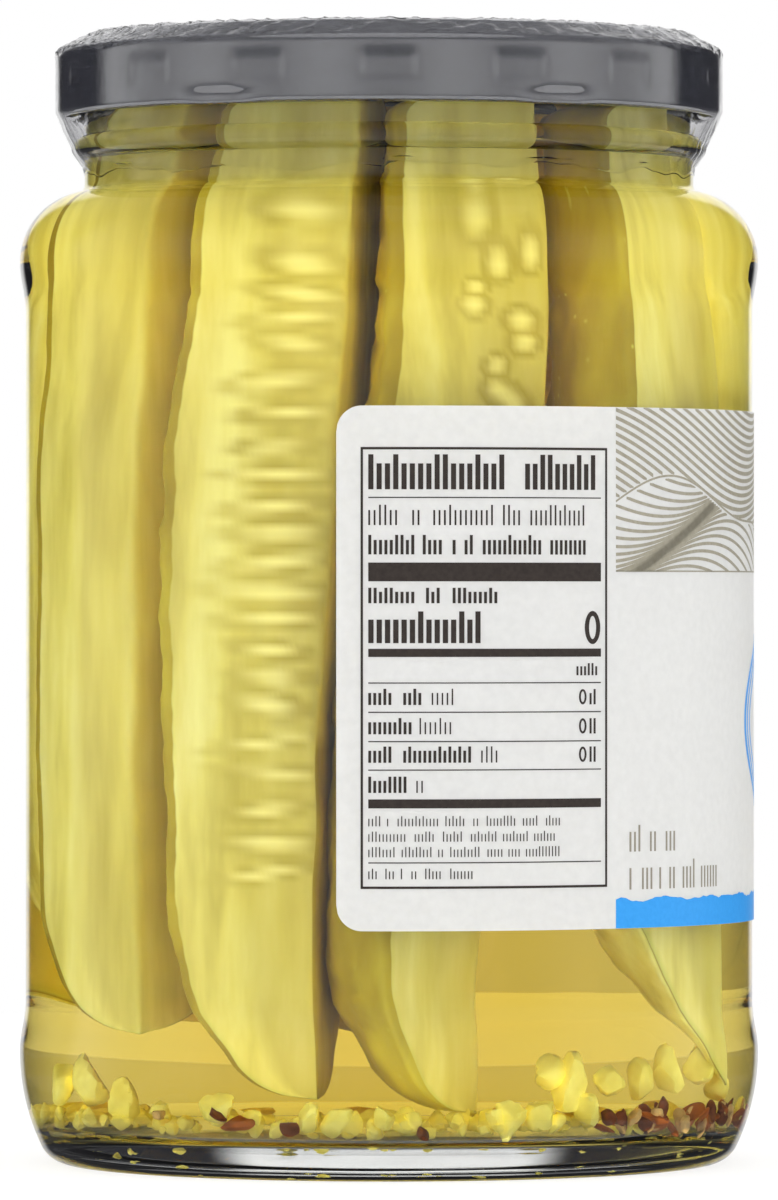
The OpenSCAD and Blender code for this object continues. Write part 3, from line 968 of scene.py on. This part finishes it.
def print_table(black):
    """A ruled table like that on a food label, with bars and strokes in place of its words."""
    line = 0.3
    bar(black, TABLE_LEFT, TABLE_RIGHT, TABLE_LOW, TABLE_LOW + line)
    bar(black, TABLE_LEFT, TABLE_RIGHT, TABLE_TOP - line, TABLE_TOP)
    bar(black, TABLE_LEFT, TABLE_LEFT + line / DEGREE, TABLE_LOW, TABLE_TOP)
    bar(black, TABLE_RIGHT - line / DEGREE, TABLE_RIGHT, TABLE_LOW, TABLE_TOP)
    left, right = TABLE_LEFT + 0.95 / DEGREE, TABLE_RIGHT - 0.95 / DEGREE
    for z in (84.4, 61.6, 58.0, 54.4, 50.9, 39.5):
        bar(black, left, right, z - 0.07, z + 0.07)
    for z0, z1 in ((74.1, 76.4), (64.8, 65.8), (46.2, 47.3)):
        bar(black, left, right, z0, z1)
    words(black, 1, left, (18.2, 10.2), 85.4, 89.7, 1.02, 0.62, 1.5)
    words(black, 2, left, (4.6, 1.8, 8.0, 2.8, 8.4), 81.0, 83.5, 0.66, 0.34, 0.8)
    words(black, 3, left, (6.0, 3.0, 0.8, 1.6, 8.2, 5.6), 77.4, 79.8, 0.66, 0.56, 0.7)
    words(black, 4, left, (6.4, 2.6, 6.2), 71.4, 73.3, 0.66, 0.56, 0.7)
    words(black, 5, left, (14.6,), 66.5, 70.4, 1.02, 0.64, 1)
    ring_mark(black, right - 1.25 / DEGREE, 68.4, 1.15, 2.05, 0.62)
    words(black, 6, right - 3.6 / DEGREE, (3.4,), 62.5, 64.0, 0.55, 0.5, 0.6)
    rows = ((58.9, (3.6, 2.8), 3.4), (55.3, (5.6,), 4.6), (51.8, (3.6, 9.0), 2.8), (48.1, (5.2,), 1.4))
    for k, (z, name_words, amount) in enumerate(rows):
        after = words(black, 10 + k, left, name_words, z, z + 2.0, 0.62, 0.56, 0.7)
        words(black, 20 + k, after, (amount,), z, z + 2.0, 0.62, 0.3, 0.7)
        if k < 3:
            ring_mark(black, right - 2.7 / DEGREE, z + 0.95, 0.55, 0.95, 0.28)
            words(black, 30 + k, right - 1.7 / DEGREE, (1.6,), z, z + 1.9, 0.6, 0.5, 0.6)
    small = ((44.0, (1.8, 0.8, 5.4, 3.0, 1.2, 4.2, 2.6, 2.2)), (42.1, (5.2, 3.0, 3.0, 3.6, 3.6, 3.4)),
             (40.2, (3.6, 4.0, 1.0, 4.2, 2.2, 1.8, 5.2)))
    for k, (z, lengths) in enumerate(small):
        words(black, 40 + k, left, lengths, z, z + 1.25, 0.44, 0.32, 0.5)
    words(black, 50, left, (1.6, 1.4, 0.8, 1.2, 2.6, 3.2), 37.5, 38.8, 0.44, 0.34, 0.5)


PANEL_LEFT = 37.1
PANEL_RIGHT = LABEL_START + LABEL_SPAN
RINGS_BEARING = 124
FIELD_LOW = 75.3


def print_field(lines):
    """Furrow lines over the top of the front panel: two wavy families, parted by a hill's edge."""
    b = np.arange(PANEL_LEFT, PANEL_RIGHT - 1.0, 0.7)
    s = (b - PANEL_LEFT) * DEGREE
    hill = FIELD_LOW + 6.5 + 4.2 * np.sin(s / 13 + 0.6) + 1.6 * np.sin(s / 5.2)
    for k in range(46):
        z = LABEL_TOP + 12 - k - 9 * np.tanh(s / 26) + 1.7 * np.sin(s / 7.5 + k * 0.10)
        lo, hi = np.maximum(z - 0.24, hill), np.minimum(z + 0.24, LABEL_TOP - 0.02)
        ribbon(lines, b, lo, hi)
    for k in range(30):
        z = FIELD_LOW - 9 + k * 0.95 + 5.0 * np.sin(s / 11 - k * 0.16 + 1.2)
        lo, hi = np.maximum(z - 0.2, FIELD_LOW), np.minimum(z + 0.2, hill - 0.5)
        ribbon(lines, b, lo, hi)
    ribbon(lines, b, hill - 0.28, hill - 0.02)
    ribbon(lines, b, b * 0 + FIELD_LOW, b * 0 + FIELD_LOW + 0.18)


def ribbon(parts, b, lo, hi):
    """A printed line, drawn only where its upper edge is above its lower one."""
    on = hi - lo > 0.06
    start = None
    for i in range(len(b) + 1):
        if i < len(b) and on[i]:
            start = i if start is None else start
        elif start is not None:
            if i - start > 1:
                parts.add(*wrapped(b[start:i], lo[start:i], hi[start:i], INK_R, INK_T))
            start = None


def make_label():
    corner, end = 4.2, PANEL_RIGHT
    b = np.unique(np.concatenate([
        LABEL_START + np.linspace(0, corner, 22), np.arange(LABEL_START + corner, end - corner, 1.0),
        end - np.linspace(0, corner, 22)]))
    s = np.minimum(b - b[0], b[-1] - b) * DEGREE
    c = LABEL_CORNER_R
    cut = np.where(s < c, c - np.sqrt(np.maximum(c * c - (c - s) ** 2, 0)), 0)
    verts, faces = wrapped(b, LABEL_LOW + cut, LABEL_TOP - cut, LABEL_R - LABEL_T, LABEL_T, 12)
    put(mesh_piece("paper_label", verts, faces, paper_material(), 40), "label_paper", "label")

    black, lines, blue, grey = Parts(), Parts(), Parts(), Parts()
    print_table(black)
    print_field(lines)
    tear = np.arange(PANEL_LEFT, PANEL_RIGHT - 8, 0.5)
    top = LABEL_LOW + 3.6 + 0.5 * waves(81, tear * 0.8, 0 * tear, 9) + 0.15 * waves(82, tear, 0 * tear, 2)
    ribbon(blue, tear, tear * 0 + LABEL_LOW + 0.02, top)
    for k in range(3):
        ring_mark(blue, RINGS_BEARING, 56.5, 40 - k * 1.6, 15.5 - k * 1.6, 0.45 if k else 0.9)
    for k, half in enumerate((14, 21, 17)):
        bar(blue, RINGS_BEARING - half, RINGS_BEARING + half, 62.0 - k * 5.4, 64.4 - k * 5.4)
    words(grey, 60, 39.8, (2.6, 2.0, 2.6), 40.6, 43.9, 0.75, 0.4, 0.9)
    words(grey, 61, 39.8, (1.4, 2.4, 1.2, 2.0, 3.4, 5.2), 35.9, 39.5, 0.75, 0.4, 0.7)
    for parts, name, ink, dark, light in (
            (black, "print_black", "ink_black", (0.035, 0.026, 0.022), (0.05, 0.038, 0.032)),
            (lines, "print_lines", "ink_sand", (0.36, 0.33, 0.25), (0.44, 0.41, 0.32)),
            (blue, "print_blue", "ink_blue", (0.03, 0.36, 0.93), (0.04, 0.40, 0.98)),
            (grey, "print_grey", "ink_grey", (0.30, 0.27, 0.21), (0.36, 0.32, 0.26))):
        put(parts.piece(name, ink_material(ink, dark, light)), "print")


# ---------------- stage, light and camera

FLOOR_R = 430
EYE_H = 0.0718
EYE_DISTANCE = 1.195
LENS = 280.5


def math_node(tree, operation, a, b, clamp=False):
    return node(tree, "Math", [(0, a), (1, b)], operation=operation, use_clamp=clamp).outputs[0]


def even(value):
    """A grey, or a white when value is 1 or more."""
    return value, value, value


def make_stage():
    """A pale floor that lights itself, less so in mirrors and through the whole jar."""
    material, tree, shader = new_material("pale_floor", Roughness=0.9, Specular_IOR_Level=0.0,
                                          Emission_Color=(1, 1, 1, 1), Emission_Strength=0.8)
    tone = ramp(tree, grain(tree, 3, 2), [(0.3, even(0.27)), (0.7, even(0.29))])
    tree.links.new(tone, shader.inputs["Base Color"])
    path = node(tree, "LightPath").outputs
    direct = node(tree, "MapRange", [
        ("Value", path["Transmission Depth"]), ("From Min", 2.0), ("From Max", 6.0),
        ("To Min", 0.8), ("To Max", 0.3)])
    mirrored = node(tree, "MapRange", [("Value", path["Glossy Depth"]), ("To Min", 1.0), ("To Max", 0.14)])
    glow = math_node(tree, "MULTIPLY", direct.outputs["Result"], mirrored.outputs["Result"])
    tree.links.new(glow, shader.inputs["Emission Strength"])
    count, radius = 96, FLOOR_R
    turn = np.arange(count) * 2 * math.pi / count
    verts = np.column_stack([radius * np.cos(turn), radius * np.sin(turn), 0 * turn])
    floor = mesh_piece("floor", verts, [list(range(count))], material)
    floor.visible_glossy = False


def make_world():
    """A soft white room, with a dark band on each side behind the jar, which mirrors and glass show.
    What lights the contents is brighter, to make up for the light that the renderer's short paths lose
    between glass and brine."""
    world = bpy.data.worlds.new("studio")
    scene.world = world
    world.use_nodes = True
    tree = world.node_tree
    tree.nodes.clear()
    place = node(tree, "TexCoord").outputs["Generated"]
    axis = node(tree, "SeparateXYZ", [("Vector", place)])
    back = math_node(tree, "MULTIPLY", axis.outputs["Y"], -1.0)
    bearing = math_node(tree, "ARCTAN2", axis.outputs["X"], back)
    aside = node(tree, "Math", [(0, bearing)], operation="ABSOLUTE").outputs[0]
    share = math_node(tree, "DIVIDE", aside, math.pi)
    bright, soft = even(0.68), even(0.50)
    front, dark, behind = even(0.56), (0.03, 0.03, 0.035), even(1.0)
    mirrored = ramp(tree, share, [
        (0.0, soft), (0.12, bright), (0.24, soft), (0.36, bright), (0.48, soft), (0.61, bright),
        (0.68, dark), (0.88, dark), (0.92, behind)], "EASE")
    seen_through = ramp(tree, share, [
        (0.0, front), (0.62, front), (0.70, even(0.5)), (0.82, even(0.80))], "EASE")
    path = node(tree, "LightPath").outputs
    inside = math_node(tree, "GREATER_THAN", path["Transmission Depth"], 0.5)
    lit = math_node(tree, "GREATER_THAN", path["Diffuse Depth"], 0.5)
    deep = math_node(tree, "GREATER_THAN", path["Diffuse Depth"], 1.5)
    glossy = math_node(tree, "GREATER_THAN", path["Glossy Depth"], 0.5)
    bands = blended(tree, glossy, seen_through, mirrored)
    up = ramp(tree, axis.outputs["Z"], [(0.30, (0, 0, 0)), (0.70, (1, 1, 1))])
    bands = blended(tree, up, bands, (0.26, 0.26, 0.27))
    below = math_node(tree, "MULTIPLY", axis.outputs["Z"], -2.5, clamp=True)
    shown = blended(tree, below, bands, (0.10, 0.10, 0.11))
    contents = blended(tree, deep, even(2.7), even(11.0))
    room = blended(tree, inside, even(0.97), contents)
    colour = blended(tree, lit, shown, room)
    colour = blended(tree, path["Is Camera Ray"], colour, even(1.0))
    background = node(tree, "Background", [("Color", colour), ("Strength", 1.0)])
    out = node(tree, "OutputWorld")
    tree.links.new(background.outputs[0], out.inputs["Surface"])


def make_lights():
    """One large soft light overhead."""
    data = bpy.data.lights.new("overhead", "AREA")
    data.shape = "DISK"
    data.size = 1.6
    data.energy = 3
    light = bpy.data.objects.new("overhead", data)
    light.location = (0, -0.3, 1.6)
    light.visible_glossy = False
    scene.collection.objects.link(light)


def make_camera():
    data = bpy.data.cameras.new("camera")
    data.sensor_width = 36
    data.lens = LENS
    data.clip_start, data.clip_end = 0.05, 50
    camera = bpy.data.objects.new("camera", data)
    camera.location = (0, -EYE_DISTANCE, EYE_H)
    camera.rotation_euler = (math.radians(90), 0, 0)
    scene.collection.objects.link(camera)
    scene.camera = camera


make_camera()
make_world()
make_lights()
make_stage()
make_glass()
make_brine()
make_spears()
make_garlic()
make_spices()
make_cap()
make_film()
make_label()
